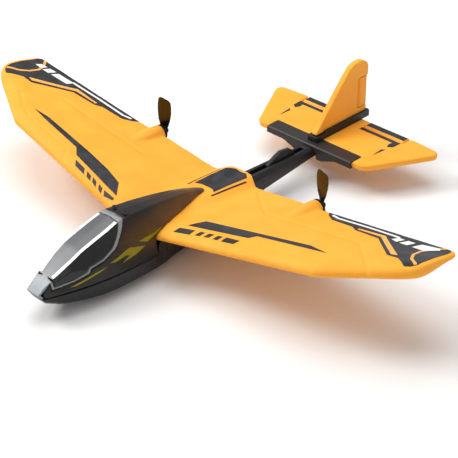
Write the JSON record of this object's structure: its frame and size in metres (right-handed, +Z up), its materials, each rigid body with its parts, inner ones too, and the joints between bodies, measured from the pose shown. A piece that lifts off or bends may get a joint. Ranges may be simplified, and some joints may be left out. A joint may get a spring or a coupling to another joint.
{
  "type": "rc glider",
  "caption": "Foam glider with a plastic pod and boom, a V-swept high wing, twin pusher propellers on the trailing edge and a low tailplane with an upright fin.",
  "frame": {"origin": "on the ground, at the underside of the belly skid on the centreline", "axes": "+Z up, +X to the port wing tip, nose towards -Y"},
  "size_m": [0.368, 0.2991, 0.0674],
  "materials": {
    "foam": "matte moulded foam",
    "smoky_plastic": "gloss smoky black",
    "black_plastic": "satin black",
    "silver_plastic": "gloss silver",
    "frame_grey": "satin light grey",
    "amber_plastic": "tinted brown, slightly see-through",
    "steel": "plain steel",
    "board_green": "green solder mask",
    "cell_wrap": "silver pouch foil",
    "skid_rubber": "matte black",
    "wire_red": "soft sleeve",
    "lamp_red": "clear red"
  },
  "bodies": {
    "airframe": {"battery": "cell_wrap", "battery_tape": "skid_rubber", "belly_screw_front": "steel", "belly_screw_rear": "steel", "belly_skid": "skid_rubber", "boom_fairing": "black_plastic", "canopy": "silver_plastic", "canopy_frame": "frame_grey", "charge_socket": "black_plastic", "cockpit_tub": "black_plastic", "fin": "foam", "fin_holder": "black_plastic", "motor_lead_left": "wire_red", "motor_lead_right": "wire_red", "motor_left": "steel", "motor_right": "steel", "motor_sleeve_left": "black_plastic", "motor_sleeve_right": "black_plastic", "nose_cap": "silver_plastic", "pod_lower_shell": "black_plastic", "pod_upper_shell": "smoky_plastic", "power_switch": "black_plastic", "receiver_board": "board_green", "spine_screw_left": "steel", "spine_screw_right": "steel", "status_lamp": "lamp_red", "tail_boom": "black_plastic", "tail_bracket": "black_plastic", "tail_screw": "steel", "tailplane": "foam", "wing": "foam"},
    "propeller_left": {"propeller_left": "amber_plastic"},
    "propeller_right": {"propeller_right": "amber_plastic"},
    "elevator_left": {"elevator_tab_left": "foam"},
    "elevator_right": {"elevator_tab_right": "foam"},
    "rudder": {"rudder_tab": "foam"},
    "switch": {"switch_slider": "silver_plastic"}
  },
  "joints": [
    {"name": "left_propeller_spin", "type": "hinge", "parent": "airframe", "child": "propeller_left", "pos_m": [0.07, 0.0255, 0.0322], "axis": [0, 1, 0], "continuous": true},
    {"name": "right_propeller_spin", "type": "hinge", "parent": "airframe", "child": "propeller_right", "pos_m": [-0.07, 0.0255, 0.0322], "axis": [0, 1, 0], "continuous": true},
    {"name": "elevator_left_trim", "type": "hinge", "parent": "airframe", "child": "elevator_left", "pos_m": [0, 0.1364, 0.02045], "axis": [1, 0, 0], "range_deg": [-20, 20]},
    {"name": "elevator_right_trim", "type": "hinge", "parent": "airframe", "child": "elevator_right", "pos_m": [0, 0.1364, 0.02045], "axis": [1, 0, 0], "range_deg": [-20, 20]},
    {"name": "rudder_trim", "type": "hinge", "parent": "airframe", "child": "rudder", "pos_m": [0, 0.1406, 0], "axis": [0, 0, 1], "range_deg": [-15, 15]},
    {"name": "power_switch_slide", "type": "slide", "parent": "airframe", "child": "switch", "axis": [0, 1, 0], "range_m": [0, 0.002]}
  ]
}
